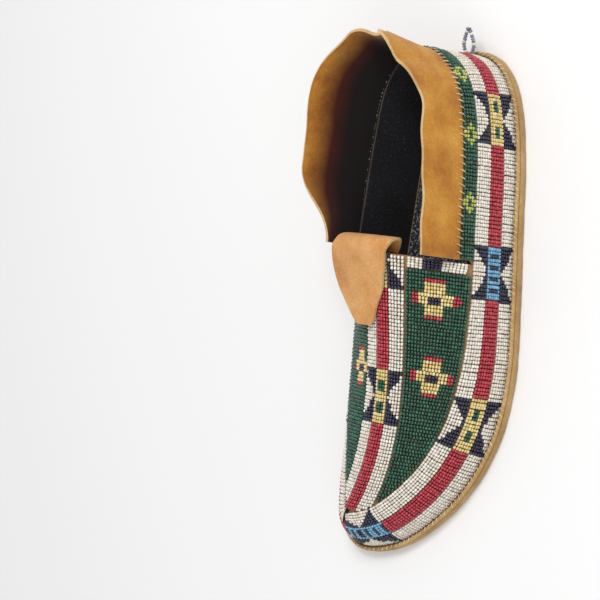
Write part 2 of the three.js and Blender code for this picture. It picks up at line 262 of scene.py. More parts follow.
def new_object(name, vertices, faces, material_index=None):
    """A mesh object from arrays: vertices in millimetres, faces all with the same number of corners."""
    faces = np.asarray(faces, np.int32)
    corners = faces.shape[1]
    mesh = bpy.data.meshes.new(name)
    mesh.vertices.add(len(vertices))
    mesh.vertices.foreach_set("co", (np.asarray(vertices) * MM).astype(np.float32).ravel())
    mesh.loops.add(faces.size)
    mesh.loops.foreach_set("vertex_index", faces.ravel())
    mesh.polygons.add(len(faces))
    mesh.polygons.foreach_set("loop_start", np.arange(0, faces.size, corners, dtype=np.int32))
    if material_index is not None:
        mesh.polygons.foreach_set("material_index", np.asarray(material_index, np.int32))
    mesh.update(calc_edges=True)
    mesh.validate()
    mesh.polygons.foreach_set("use_smooth", np.ones(len(mesh.polygons), bool))
    piece = bpy.data.objects.new(name, mesh)
    bpy.context.scene.collection.objects.link(piece)
    return piece


def weld(sheets):
    """Grids of points joined where they touch: points and triangles, all facing outward."""
    seen, points, faces = {}, [], []
    for grid, flip in sheets:
        index = np.empty(grid.shape[:2], int)
        for place in np.ndindex(index.shape):
            key = tuple(np.round(grid[place] * WELD_GRID).astype(int))
            if key not in seen:
                seen[key] = len(points)
                points.append(grid[place])
            index[place] = seen[key]
        a, b, c, d = index[:-1, :-1], index[1:, :-1], index[1:, 1:], index[:-1, 1:]
        for corners in ((a, b, c), (a, c, d)):
            triangles = np.stack([k.ravel() for k in corners], 1)
            faces.append(triangles[:, ::-1] if flip else triangles)
    faces = np.vstack(faces)
    whole = (faces[:, 0] != faces[:, 1]) & (faces[:, 1] != faces[:, 2]) & (faces[:, 2] != faces[:, 0])
    return np.array(points), faces[whole]


def point_normals(points, faces):
    a, b, c = (points[faces[:, k]] for k in range(3))
    area = np.cross(b - a, c - a)
    normals = np.zeros_like(points)
    for k in range(3):
        np.add.at(normals, faces[:, k], area)
    return unit(normals)


def border_edges(faces):
    pairs = {(a, b) for face in faces.tolist() for a, b in zip(face, face[1:] + face[:1])}
    return np.array(sorted(pair for pair in pairs if pair[::-1] not in pairs))


def thicken(name, sheets, inner, outer, materials):
    """The solid between two distances from the sheets, with materials for outside, inside and cut edge."""
    points, faces = weld(sheets)
    normals = point_normals(points, faces)
    count = len(points)
    vertices = np.vstack([points + normals * outer, points + normals * inner])
    vertices[:, 2] = np.maximum(vertices[:, 2], FLOOR_Z)
    border = border_edges(faces)
    p, q = border[:, 0], border[:, 1]
    cut = np.vstack([np.stack([p, p + count, q + count], 1), np.stack([p, q + count, q], 1)])
    solid = np.vstack([faces, faces[:, ::-1] + count, cut])
    slots = np.repeat([0, 1, 2], [len(faces), len(faces), len(cut)])
    piece = new_object(name, vertices, solid, slots)
    for finish in materials:
        piece.data.materials.append(finish)
    piece.data.set_sharp_from_angle(angle=math.radians(SHARP_DEGREES))
    return piece


def tubes(name, paths, radius, finish, sides=7):
    """Round threads along paths of the same number of points, with closed ends."""
    paths = np.asarray(paths, float)
    count, steps = paths.shape[:2]
    along = unit(np.gradient(paths, axis=1))
    helper = np.where(np.abs(along[..., 2:]) < 0.9, (0, 0, 1.0), (1.0, 0, 0))
    side = unit(np.cross(along, helper))
    up = np.cross(side, along)
    turn = np.linspace(0, 2 * np.pi, sides, endpoint=False)
    size = np.full(steps, float(radius))
    size[[0, -1]] *= THREAD_TAPER
    ring = (np.cos(turn)[:, None] * side[:, :, None, :] + np.sin(turn)[:, None] * up[:, :, None, :])
    vertices = paths[:, :, None, :] + ring * size[:, None, None]
    ends = paths[:, [0, -1]]
    base = np.arange(count)[:, None, None] * steps * sides
    step = np.arange(steps - 1)[None, :, None] * sides
    around = np.arange(sides)[None, None, :]
    following = (around + 1) % sides
    a, b = base + step + around, base + step + following
    quads = np.stack([a, b, b + sides, a + sides], -1).reshape(-1, 4)
    tip = count * steps * sides + 2 * np.arange(count)[:, None]
    first = base[:, :, 0] + around[0]
    first_next = base[:, :, 0] + following[0]
    last = (steps - 1) * sides
    cap = np.stack([first_next, first, tip + 0 * first, tip + 0 * first], -1).reshape(-1, 4)
    end_cap = np.stack([first + last, first_next + last, tip + 1 + 0 * first, tip + 1 + 0 * first], -1)
    triangles = np.vstack([
        quads[:, [0, 1, 2]], quads[:, [0, 2, 3]], cap[:, :3], end_cap.reshape(-1, 4)[:, :3]])
    piece = new_object(name, np.vstack([vertices.reshape(-1, 3), ends.reshape(-1, 3)]), triangles)
    piece.data.materials.append(finish)
    return piece


def arcs(starts, ends, bulge, steps=6):
    """Short paths from starts to ends that stand out by bulge in the middle."""
    t = np.linspace(0, 1, steps)[None, :, None]
    straight = mix(starts[:, None, :], ends[:, None, :], t)
    return straight + bulge[:, None, :] * np.sin(np.pi * t)


# ---- Materials ----
def material(name):
    """A new material, its nodes and links, and its shader."""
    made = bpy.data.materials.new(name)
    made.use_nodes = True
    nodes = made.node_tree.nodes
    return made, nodes, made.node_tree.links, nodes["Principled BSDF"]


def noise(nodes, links, coordinates, scale, detail=3.0, roughness=0.55):
    node = nodes.new("ShaderNodeTexNoise")
    node.inputs["Scale"].default_value = scale
    node.inputs["Detail"].default_value = detail
    node.inputs["Roughness"].default_value = roughness
    links.new(coordinates.outputs["Object"], node.inputs["Vector"])
    return node.outputs["Fac"]


def ramp(nodes, links, factor, colours):
    node = nodes.new("ShaderNodeValToRGB")
    elements = node.color_ramp.elements
    while len(elements) < len(colours):
        elements.new(0.5)
    for element, (place, colour) in zip(elements, colours):
        element.position = place
        element.color = (*colour, 1)
    links.new(factor, node.inputs["Fac"])
    return node.outputs["Color"]


def blend_colours(nodes, links, factor, first, second, mode="MIX"):
    node = nodes.new("ShaderNodeMix")
    node.data_type = "RGBA"
    node.blend_type = mode
    for socket, value in ((node.inputs[0], factor), (node.inputs[6], first), (node.inputs[7], second)):
        if isinstance(value, bpy.types.NodeSocket):
            links.new(value, socket)
        else:
            socket.default_value = value
    return node.outputs[2]


def height_factor(nodes, links, coordinates, low, high):
    """0 at the height low and 1 at the height high, in metres."""
    split = nodes.new("ShaderNodeSeparateXYZ")
    links.new(coordinates.outputs["Object"], split.inputs[0])
    scaled = nodes.new("ShaderNodeMapRange")
    scaled.inputs["From Min"].default_value = low
    scaled.inputs["From Max"].default_value = high
    links.new(split.outputs["Z"], scaled.inputs["Value"])
    return scaled.outputs["Result"]


# Noise scales of hide, per metre: blotches, nap and creases.
MOTTLE_SCALE, NAP_SCALE, CREASE_SCALE = 55, 900, 240


def hide_material(name, dark, middle, light, grain=0.25, roughness=0.85, shade=None, shade_heights=None):
    """Tanned hide: mottled colour, fine nap and creases.

    shade is painted shade: a colour ramp between the two shade_heights, multiplied with the hide's own
    colour.
    """
    made, nodes, links, shader = material(name)
    coordinates = nodes.new("ShaderNodeTexCoord")
    mottle = noise(nodes, links, coordinates, MOTTLE_SCALE, 5, 0.62)
    colour = ramp(nodes, links, mottle, [(0.3, dark), (0.5, middle), (0.72, light)])
    nap = noise(nodes, links, coordinates, NAP_SCALE, 4, 0.7)
    nap_colour = ramp(nodes, links, nap, [(0.3, (0.62, 0.6, 0.58)), (0.7, (1.0, 1.0, 1.0))])
    colour = blend_colours(nodes, links, 0.7, colour, nap_colour, "MULTIPLY")
    # Painted shade: the hide is darkened toward the lower of the shade heights.
    if shade:
        painted_shade_colour = ramp(nodes, links, height_factor(nodes, links, coordinates, *shade_heights), shade)
        colour = blend_colours(nodes, links, 1.0, colour, painted_shade_colour, "MULTIPLY")
    links.new(colour, shader.inputs["Base Color"])
    rough = nodes.new("ShaderNodeMapRange")
    rough.inputs["To Min"].default_value = roughness - 0.12
    rough.inputs["To Max"].default_value = roughness + 0.1
    links.new(mottle, rough.inputs["Value"])
    links.new(rough.outputs["Result"], shader.inputs["Roughness"])
    crease = noise(nodes, links, coordinates, CREASE_SCALE, 6, 0.75)
    bump = nodes.new("ShaderNodeBump")
    bump.inputs["Strength"].default_value = grain
    bump.inputs["Distance"].default_value = 0.0012
    links.new(crease, bump.inputs["Height"])
    links.new(bump.outputs["Normal"], shader.inputs["Normal"])
    shader.inputs["Specular IOR Level"].default_value = 0.25
    shader.inputs["Sheen Weight"].default_value = 0.15
    return made


def speckled_cloth(name, base, speck, scale, amount):
    """Dark cloth or felt with paler fibres as specks, where the noise is over amount."""
    made, nodes, links, shader = material(name)
    coordinates = nodes.new("ShaderNodeTexCoord")
    specks = noise(nodes, links, coordinates, scale, 2, 0.8)
    patches = noise(nodes, links, coordinates, 45, 2, 0.5)
    factor = ramp(nodes, links, specks, [(amount, (0, 0, 0)), (amount + 0.12, (1, 1, 1))])
    soft = ramp(nodes, links, patches, [(0.35, base), (0.7, tuple(2.2 * k for k in base))])
    colour = blend_colours(nodes, links, factor, soft, (*speck, 1))
    links.new(colour, shader.inputs["Base Color"])
    shader.inputs["Roughness"].default_value = 0.95
    bump = nodes.new("ShaderNodeBump")
    bump.inputs["Strength"].default_value = 0.5
    bump.inputs["Distance"].default_value = 0.0006
    links.new(specks, bump.inputs["Height"])
    links.new(bump.outputs["Normal"], shader.inputs["Normal"])
    return made


def thread_material(name, dark, light):
    """Waxed thread, its colour broken up by twist and dirt."""
    made, nodes, links, shader = material(name)
    coordinates = nodes.new("ShaderNodeTexCoord")
    wear = noise(nodes, links, coordinates, 420, 3, 0.6)
    links.new(ramp(nodes, links, wear, [(0.35, dark), (0.65, light)]), shader.inputs["Base Color"])
    shader.inputs["Roughness"].default_value = 0.6
    return made


BEAD_COLOURS = {
    "white": [(0.74, 0.69, 0.60), (0.66, 0.60, 0.50), (0.82, 0.79, 0.72)],
    "red": [(0.42, 0.025, 0.045), (0.33, 0.018, 0.035), (0.52, 0.045, 0.065)],
    "green": [(0.008, 0.072, 0.040), (0.004, 0.045, 0.026), (0.016, 0.115, 0.062)],
    "navy": [(0.010, 0.012, 0.040), (0.016, 0.020, 0.060), (0.007, 0.008, 0.025)],
    "yellow": [(0.70, 0.55, 0.22), (0.60, 0.46, 0.17), (0.78, 0.66, 0.34)],
    "lime": [(0.42, 0.45, 0.10), (0.34, 0.40, 0.08), (0.52, 0.52, 0.16)],
    "blue": [(0.16, 0.38, 0.56), (0.12, 0.30, 0.47), (0.24, 0.47, 0.64)],
    "slate": [(0.16, 0.20, 0.30), (0.11, 0.14, 0.23), (0.26, 0.30, 0.40)],
}


def bead_material(colour, shade):
    """Opaque glass. Plain values, since the variation is from bead to bead."""
    made, _, _, shader = material(f"glass_bead_{colour}_{shade}")
    shader.inputs["Base Color"].default_value = (*BEAD_COLOURS[colour][shade], 1)
    shader.inputs["Roughness"].default_value = 0.22 + 0.06 * shade
    shader.inputs["IOR"].default_value = 1.52
    shader.inputs["Coat Weight"].default_value = 0.35
    shader.inputs["Coat Roughness"].default_value = 0.08
    return made


BEAD_GLASS = {(colour, shade): bead_material(colour, shade)
              for colour, shades in BEAD_COLOURS.items() for shade in range(len(shades))}
# Painted shade of the shoe's inside on the collar's inner face, which also stands for the dark lining cloth
# low down. From the foot of the collar to its rim: nearly black, dark red-brown, then the hide's own colour.
COLLAR_PAINTED_SHADE = [
    (0.0, (0.004, 0.003, 0.004)), (0.35, (0.012, 0.004, 0.003)),
    (0.6, (0.10, 0.022, 0.006)), (1.0, (1.0, 1.0, 1.0)),
]
COLLAR_PAINTED_SHADE_HEIGHTS = (42 * MM, 68 * MM)
COLLAR_OUT = hide_material(
    "collar_hide_outside", (0.36, 0.13, 0.012), (0.52, 0.22, 0.022), (0.64, 0.32, 0.05))
# The inner face carries the collar's painted shade, darkest at its foot.
COLLAR_IN = hide_material(
    "collar_hide_inside", (0.26, 0.08, 0.008), (0.46, 0.18, 0.02), (0.58, 0.27, 0.04),
    shade=COLLAR_PAINTED_SHADE, shade_heights=COLLAR_PAINTED_SHADE_HEIGHTS)
CUT_EDGE = hide_material("cut_hide_edge", (0.52, 0.32, 0.13), (0.66, 0.44, 0.2), (0.74, 0.55, 0.3), 0.4)
TONGUE_HIDE = hide_material("tongue_suede", (0.50, 0.20, 0.05), (0.66, 0.32, 0.10), (0.76, 0.42, 0.17), 0.3)
UPPER_HIDE = hide_material("upper_hide", (0.22, 0.12, 0.05), (0.34, 0.2, 0.09), (0.42, 0.27, 0.13))
RAWHIDE = hide_material("rawhide", (0.30, 0.16, 0.05), (0.46, 0.28, 0.10), (0.58, 0.39, 0.18), 0.5, 0.6)
WELT_HIDE = hide_material("welt_hide", (0.33, 0.17, 0.05), (0.52, 0.31, 0.1), (0.64, 0.43, 0.18), 0.4, 0.7)
LINING = speckled_cloth("lining_cloth", (0.005, 0.004, 0.006), (0.06, 0.06, 0.065), 1100, 0.58)
FELT = speckled_cloth("insole_felt", (0.006, 0.006, 0.007), (0.28, 0.28, 0.30), 700, 0.53)
THREAD = thread_material("waxed_thread", (0.34, 0.25, 0.14), (0.66, 0.56, 0.4))


# ---- Beads ----
def bead_shape(sides=8):
    """One bead with its hole along X, for a half length and a radius of 1: points and quads."""
    profile = [(-1, 0.45), (-0.66, 0.88), (0, 1.0), (0.66, 0.88), (1, 0.45)]
    turn = np.linspace(0, 2 * np.pi, sides, endpoint=False)
    points = [(x, r * math.cos(t), r * math.sin(t)) for x, r in profile for t in turn]
    rings = len(profile)
    quads = [(i * sides + k, i * sides + (k + 1) % sides,
              (i + 1) % rings * sides + (k + 1) % sides, (i + 1) % rings * sides + k)
             for i in range(rings) for k in range(sides)]
    return np.array(points), np.array(quads)[:, ::-1]


BEAD_POINTS, BEAD_QUADS = bead_shape()


BEAD_TILT = 0.05  # spread of the beads' directions
BEAD_SHIFT = 0.05  # spread of their places, in mm
BEAD_SIZES = {"spread": 0.035, "least": 0.9, "most": 1.08}
SHADE_SHARES = (0.6, 0.2, 0.2)  # how often each shade of a colour comes up


class Beads:
    """Beads of one piece: centres, thread directions, outward directions and colours."""

    def __init__(self):
        self.centres, self.threads, self.normals, self.colours = [], [], [], []

    def add_row(self, centres, threads, normals, colours):
        self.centres.append(centres)
        self.threads.append(threads)
        self.normals.append(normals)
        self.colours.extend(colours)

    def build(self, name, radius=BEAD_RADIUS, length=BEAD_LENGTH):
        centres = np.vstack(self.centres)
        threads = unit(np.vstack(self.threads))
        normals = unit(np.vstack(self.normals))
        count = len(centres)
        threads = unit(threads + RNG.normal(0, BEAD_TILT, (count, 3)))
        sideways = unit(np.cross(normals, threads))
        normals = np.cross(threads, sideways)
        centres = centres + RNG.normal(0, BEAD_SHIFT, (count, 3))
        size = RNG.normal(1, BEAD_SIZES["spread"], (count, 1))
        size = size.clip(BEAD_SIZES["least"], BEAD_SIZES["most"])
        axes = np.stack([threads * size * length / 2, sideways * size * radius, normals * size * radius], -1)
        vertices = centres[:, None, :] + np.einsum("nij,kj->nki", axes, BEAD_POINTS)
        quads = BEAD_QUADS[None] + np.arange(count)[:, None, None] * len(BEAD_POINTS)
        keys = sorted({(colour, shade) for colour in set(self.colours) for shade in range(len(SHADE_SHARES))})
        shades = RNG.choice(len(SHADE_SHARES), count, p=SHADE_SHARES)
        index = np.array([keys.index((colour, shade)) for colour, shade in zip(self.colours, shades)])
        piece = new_object(name, vertices.reshape(-1, 3), quads.reshape(-1, 4), index.repeat(len(BEAD_QUADS)))
        for key in keys:
            piece.data.materials.append(BEAD_GLASS[key])
        return piece


def surface_frame(surface, u, v, du, dv):
    """Points of a surface and the unit directions along u, along v, and their cross product."""
    along_u = unit(surface(u + du, v) - surface(u - du, v))
    along_v = unit(surface(u, v + dv) - surface(u, v - dv))
    return surface(u, v), along_u, along_v, unit(np.cross(along_u, along_v))


def hump(part):
    """How high a bead sits for its place 0..1 in its row: lazy stitch rows arch in the middle."""
    return BEAD_SEAT + LANE_HUMP * (1 - (2 * part - 1) ** 2) - LANE_HUMP / 2


# ---- Bead patterns ----
MOTIF_HALF = 13.5  # half the length of a bow-tie motif
TOE_MOTIF = 18  # mm from the toe to the first motif, toward the outer side
# Distance in mm from the first motif, both ways round, and the colour of its centre.
BAND_MOTIFS = [(0, "blue"), (89, "yellow"), (164, "blue"), (240, "yellow")]
STRIP_MOTIFS = [(2, "yellow"), (70, "yellow")]  # distance in mm from the throat, colour of the centre


def bow_tie(u, across, centre):
    """Colour of a bow-tie motif at u mm from its middle and across lanes from the centre line, or None."""
    reach = abs(u) / MOTIF_HALF
    if reach > 1:
        return None
    if abs(across) > 0.5:
        return "navy" if abs(across) - 0.5 < reach + 0.04 else None
    if centre == "yellow":
        return "green" if abs(reach - 0.45) < 0.2 and abs(across) < 0.25 else "yellow"
    return "navy" if abs(reach * 2.5 % 1 - 0.5) < 0.2 and abs(abs(across) - 0.2) < 0.12 else "blue"


def lane_colour(u, across, motifs):
    """Colour at u mm along a band of three lanes, across lanes from its centre line."""
    for place, centre in motifs:
        colour = bow_tie(u - place, across, centre)
        if colour:
            return colour
    return "red" if abs(across) < 0.5 else "white"


CROSS = {"long": 9.6, "wide": 8.4, "block": 3.4, "heart": 2.4}  # half sizes of a panel cross


def cross_colour(dy, across):
    """Colour of a cross on the green panel at dy, across mm from its middle, or green."""
    dy, across = abs(dy), abs(across)
    if dy < CROSS["heart"] * 0.7 and across < CROSS["heart"]:
        return "navy"
    if dy < CROSS["heart"] and across < CROSS["wide"]:
        return "yellow" if across < CROSS["wide"] * 0.72 else "red"
    if dy < CROSS["long"] and across < CROSS["block"]:
        return "yellow" if dy < CROSS["long"] * 0.8 else "red"
    return "green"


# ---- Beadwork pieces ----
def lane_places(s_from, s_to, height):
    """Row places at an even pitch along a lane between two places round the shoe."""
    fine = np.linspace(s_from, s_to, 900)
    length = np.r_[0, np.cumsum(np.linalg.norm(np.diff(wall(fine, height), axis=0), axis=1))]
    rows = int(length[-1] / BEAD_PITCH)
    return np.interp((np.arange(rows) + 0.5) * length[-1] / rows, length, fine)


MIDDLE_LINE = wall(RIM_S, BAND / 2)
MIDDLE_ALONG = np.r_[0, np.cumsum(np.linalg.norm(np.diff(MIDDLE_LINE, axis=0), axis=1))]


def from_first_motif(s):
    """Distance from the motif at the toe along the middle of the band."""
    return abs(np.interp(s, RIM_S, MIDDLE_ALONG) - MIDDLE_ALONG[TOE_INDEX] + TOE_MOTIF)


def from_throat(side, s):
    """Distance from the throat along the middle of the band."""
    return abs(np.interp(s, RIM_S, MIDDLE_ALONG) - np.interp(THROAT_S[side], RIM_S, MIDDLE_ALONG))


def wall_lane(side, s_from, s_to, bottom, count, width, colour_of):
    """One lane of rows that stand up the wall, count beads to a row."""
    beads = Beads()
    part = (np.arange(count) + 0.5) / count
    heights = bottom + 0.15 + part * (width - 0.3)
    for s in lane_places(s_from, s_to, bottom + width / 2):
        s = s + RNG.normal(0, 0.1) / PERIMETER
        places = np.full(count, s)
        points, _, up, inward = surface_frame(wall, places, heights, 0.002, 0.5)
        outward = -inward
        centres = points + outward * hump(part)[:, None]
        beads.add_row(centres, up, outward, [colour_of(s, k) for k in part])
    return beads


def side_places(side, start_s, start_gap, end_gap):
    """The two ends of a lane from start_s to the heel, each moved in by its gap in mm."""
    toward = HEEL_S[side] - start_s
    direction = math.copysign(1, toward)
    return start_s + direction * start_gap / PERIMETER, HEEL_S[side] - direction * end_gap / PERIMETER


HEEL_BARE = 1.2  # mm of bare hide on each side of the heel seam


def add_band():
    for side in SIDES:
        s_from, s_to = side_places(side, TOE_S, 0.1, HEEL_BARE)
        for lane, name in enumerate(("lower", "middle", "upper")):
            def colour_of(s, part, lane=lane):
                return lane_colour(from_first_motif(s), lane - 1.5 + part, BAND_MOTIFS)
            beads = wall_lane(side, s_from, s_to, lane * LANE, 6, LANE, colour_of)
            piece = beads.build(f"beads_band_{name}_{side}")
            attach(piece, "shoe")
            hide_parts(f"band_{name}_lane_{side}")


ANKLE_MARKS = (30, 63, 96)  # mm behind the throat


def ankle_colour(distance, part):
    """Lime diamonds with a green heart on the green lane."""
    for place in ANKLE_MARKS:
        reach = abs(distance - place) / 5.5 + abs(part - 0.5) / 0.62
        if reach < 1:
            return "green" if reach < 0.3 else "lime"
    return "green"


def add_ankle():
    for side in SIDES:
        s_from, s_to = side_places(side, THROAT_S[side], ANKLE_START, HEEL_BARE)

        def colour_of(s, part, side=side):
            return ankle_colour(from_throat(side, s), part)
        beads = wall_lane(side, s_from, s_to, BAND, 5, ANKLE, colour_of)
        piece = beads.build(f"beads_ankle_{side}")
        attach(piece, "shoe")
        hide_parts(f"ankle_lane_{side}")


RIDGE_SLOPE = math.atan((RIDGE_Z - TOE_TOP[2]) / (THROAT_Y - TOE_TOP[1]))


def ridge_rows(y_from, y_to):
    """Y of rows at an even pitch down the ridge of the vamp."""
    rows = int((y_from - y_to) / (BEAD_PITCH * math.cos(RIDGE_SLOPE)))
    return y_from - (np.arange(rows) + 0.5) * (y_from - y_to) / rows


def vamp_across(across, y):
    return vamp(y, across)


def vamp_row(beads, y, across, seat, colours):
    """Adds one row of beads across the vamp, each at its own seat over the hide."""
    place = np.full(len(across), y)
    points, sideways, _, outward = surface_frame(vamp_across, across, place, 0.4, 0.4)
    beads.add_row(points + outward * seat[:, None], sideways, outward, colours)


STRIP_END = 2.5  # mm from the toe end of the vamp to the last row of the strip


def add_strip():
    rows = ridge_rows(THROAT_Y - 0.3, TOE_TOP[1] + STRIP_END)
    lanes = {"lateral": 1, "centre": 0, "medial": -1}
    part = (np.arange(5) + 0.5) / 5
    for name, lane in lanes.items():
        beads = Beads()
        for number, y in enumerate(rows):
            across = (lane - 0.5 + 0.02 + part * 0.96) * STRIP_LANE
            limit = np.where(across > 0, half_width("lateral", y), half_width("medial", y)) - 1.0
            keep = np.abs(across) < limit
            if keep.any():
                along = number * BEAD_PITCH
                colours = [lane_colour(along, a / STRIP_LANE, STRIP_MOTIFS) for a in across[keep]]
                vamp_row(beads, y, across[keep], hump(part)[keep], colours)
        piece = beads.build(f"beads_strip_{name}")
        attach(piece, "shoe")
        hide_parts(f"vamp_strip_lane_{name}")


# Middle of each cross: y, and distance across from the ridge.
PANEL_CROSSES = {"lateral": [(0, 22), (-37.5, 23)], "medial": [(0, 22), (-37.5, 17)]}


def panel_colour(side, y, across):
    for cross_y, cross_across in PANEL_CROSSES[side]:
        colour = cross_colour(y - cross_y, abs(across) - cross_across)
        if colour != "green":
            return colour
    return "green"


def across_at(side, y, gap_in, gap_out, spacing):
    """Even bead places across the vamp on one side, between the strip and the band."""
    fine = np.linspace(STRIP_LANE * 1.5 + gap_in, half_width(side, y) - gap_out, 40)
    points = vamp(np.full(40, y), fine * SIGN[side])
    length = np.r_[0, np.cumsum(np.linalg.norm(np.diff(points, axis=0), axis=1))]
    count = int(length[-1] / spacing)
    places = (np.arange(count) + 0.5) * length[-1] / max(count, 1)
    return np.interp(places, length, fine) * SIGN[side]


def add_panels():
    rows = ridge_rows(THROAT_Y - THROAT_LANE - 0.2, TOE_TOP[1])
    for side in SIDES:
        beads = Beads()
        for y in rows:
            if half_width(side, y) < STRIP_LANE * 1.5 + 2.5:
                continue
            across = across_at(side, y, 0.3, 0.4, BEAD_LENGTH + 0.03)
            seat = BEAD_SEAT + RNG.normal(0, 0.04, len(across))
            vamp_row(beads, y, across, seat, [panel_colour(side, y, a) for a in across])
        piece = beads.build(f"beads_panel_{side}")
        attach(piece, "shoe")
        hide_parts(f"vamp_panel_{side}")


THROAT_BLOCK = (17, 23)  # mm from the ridge to the near and far side of the navy block


def add_throat_lane():
    """Short rows along the shoe, just in front of the opening, with a navy block near each end."""
    part = (np.arange(4) + 0.5) / 4
    y = THROAT_Y - 0.3 - part * (THROAT_LANE - 0.5)
    for side in SIDES:
        beads = Beads()
        for across in across_at(side, THROAT_Y - 1, 0.8, 1.2, BEAD_PITCH):
            place = np.full(4, across)
            points, forward, _, down = surface_frame(vamp, y, place, 0.4, 0.4)
            outward = -down
            block = THROAT_BLOCK[0] < abs(across) < THROAT_BLOCK[1]
            colours = ["navy" if block else "white"] * 4
            beads.add_row(points + outward * hump(part)[:, None], forward, outward, colours)
        piece = beads.build(f"beads_throat_{side}")
        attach(piece, "shoe")
        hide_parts(f"throat_lane_{side}")


# ---- Hide upper and lining ----
def upper_sheets(side):
    flip = side == "medial"
    t = np.linspace(0, 1, 70) ** 2
    front_y = mix(TOE_TOP[1], THROAT_Y, t)
    front_s = s_at(side, front_y)
    front_s[0] = TOE_S
    wall_rows = np.linspace(0, BAND, 13)
    front_wall = wall(front_s[:, None], wall_rows[None, :])
    halves = half_width(side, front_y)
    halves[0] = 0
    across = halves[:, None] * np.linspace(1, 0, 16)[None, 1:] * SIGN[side]
    arch = vamp(front_y[:, None], across)
    rear_s = np.linspace(THROAT_S[side], HEEL_S[side], 60)
    direction = math.copysign(1, HEEL_S[side] - THROAT_S[side])
    rows = np.r_[wall_rows, np.linspace(BAND, BAND + ANKLE, 5)[1:]]
    places = np.repeat(rear_s[:, None], len(rows), 1)
    places[0, len(wall_rows):] += direction * ANKLE_START / PERIMETER
    rear = wall(places, rows[None, :])
    front_wall[-1] = wall(THROAT_S[side], wall_rows)
    return [(np.concatenate([front_wall, arch], 1), flip), (rear, flip)]


def add_upper():
    sheets = [sheet for side in SIDES for sheet in upper_sheets(side)]
    upper = thicken("upper_hide", sheets, -HIDE, 0, [UPPER_HIDE, UPPER_HIDE, LINING])
    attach(upper, "shoe")
    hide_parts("upper")
    inside = -HIDE - GAP
    lining = thicken("lining_cloth", sheets, inside - CLOTH, inside, [LINING, LINING, LINING])
    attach(lining, "shoe")
    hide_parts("lining")


# ---- Sole, welt and insole ----
RING_STEPS = 360  # steps round the sole
SOLE_STITCHES = 200
SOLE_STITCH_LEAN = 0.8  # mm that each end of a stitch leans along the edge
SOLE_THREAD = 0.32  # thread radius
WELT_INSET = (0.35, 2.1)  # outer and inner side of the welt, in from the sole's edge
WELT_TOP = 6.7
WELT_CORNER = 0.7
WELT_WOBBLE = 0.15


def swept_ring(name, profile, material_used, wobble=0.0):
    """A closed section of (inset, z) points swept round the sole; wobble is its irregularity in mm."""
    places = np.linspace(0, 1, RING_STEPS, endpoint=False)
    waves = sum(np.sin(2 * np.pi * (k * places + phase)) for k, phase in ((7, 0.1), (13, 0.45), (29, 0.8)))
    rings = [inset_point(places, inset + wobble * waves / 3, z) for inset, z in profile]
    vertices = np.stack(rings, 1).reshape(-1, 3)
    count, size = len(places), len(profile)
    i, j = np.meshgrid(np.arange(count), np.arange(size), indexing="ij")
    following, around = (i + 1) % count, (j + 1) % size
    quads = np.stack([i * size + j, following * size + j, following * size + around, i * size + around], -1)
    piece = new_object(name, vertices, quads.reshape(-1, 4))
    piece.data.materials.append(material_used)
    return piece


def round_section(inset_low, inset_high, z_low, z_high, corner, steps=4):
    """A rectangle of (inset, z) with rounded corners."""
    centres = ((inset_low + corner, z_low + corner, 180), (inset_high - corner, z_low + corner, 270),
               (inset_high - corner, z_high - corner, 0), (inset_low + corner, z_high - corner, 90))
    turns = [(x, z, math.radians(start + 90 * k / steps))
             for x, z, start in centres for k in range(steps + 1)]
    return [(x + corner * math.cos(a), z + corner * math.sin(a)) for x, z, a in turns]


# The sole's section from the underside round its edge to the top: distance in from the edge, height.
SOLE_SECTION = [
    (12, 0), (1.2, 0), (0.5, 0.25), (0.12, 0.9), (0, 2.2), (0.1, 3.6), (0.5, 4.25), (1.2, 4.5), (12, 4.5),
]


def add_sole():
    """The rawhide plate: a rounded, slightly uneven edge round a flat middle."""
    places = np.linspace(0, 1, RING_STEPS, endpoint=False)
    rings = [inset_point(places, inset, z) for inset, z in SOLE_SECTION]
    grid = np.stack(rings, 1)
    waves = 0.12 * np.sin(2 * np.pi * 17 * places) + 0.1 * np.sin(2 * np.pi * (41 * places + 0.3))
    _, inward = edge(places)
    for k in range(2, 7):
        grid[:, k, :2] += inward * np.abs(waves)[:, None]
    vertices = grid.reshape(-1, 3)
    size, count = len(SOLE_SECTION), len(places)
    i = np.arange(count)
    here, following = i * size, (i + 1) % count * size
    quads = [np.stack([here + j, following + j, following + j + 1, here + j + 1], 1) for j in range(size - 1)]
    piece = new_object("sole_rawhide", vertices, np.vstack(quads))
    close_ends(piece, [here, (here + size - 1)[::-1]])
    piece.data.materials.append(RAWHIDE)
    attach(piece, "shoe")
    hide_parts("sole")


def close_ends(piece, loops):
    """Fills each closed loop of vertices with one face."""
    work = bmesh.new()
    work.from_mesh(piece.data)
    work.verts.ensure_lookup_table()
    for loop in loops:
        work.faces.new([work.verts[int(k)] for k in loop])
    bmesh.ops.recalc_face_normals(work, faces=work.faces)
    work.to_mesh(piece.data)
    work.free()


def add_welt():
    section = round_section(*WELT_INSET, FLOOR_Z, WELT_TOP, WELT_CORNER)
    welt = swept_ring("welt_strip", section, WELT_HIDE, WELT_WOBBLE)
    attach(welt, "shoe")
    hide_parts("welt")
    places = (np.arange(SOLE_STITCHES) + 0.5) / SOLE_STITCHES
    lean = SOLE_STITCH_LEAN / PERIMETER
    starts = inset_point(places - lean, 2.15, 6.9)
    ends = inset_point(places + lean, 0.45, 5.6)
    _, inward = edge(places)
    bulge = np.concatenate([-inward * 0.35, np.full((SOLE_STITCHES, 1), 0.75)], 1)
    stitches = tubes("sole_stitches", arcs(starts, ends, bulge), SOLE_THREAD, THREAD)
    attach(stitches, "shoe")
    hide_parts("sole_seam_thread")


def dress_insole():
    for slot in frame["nodes"]["insole"].material_slots:
        slot.material = FELT


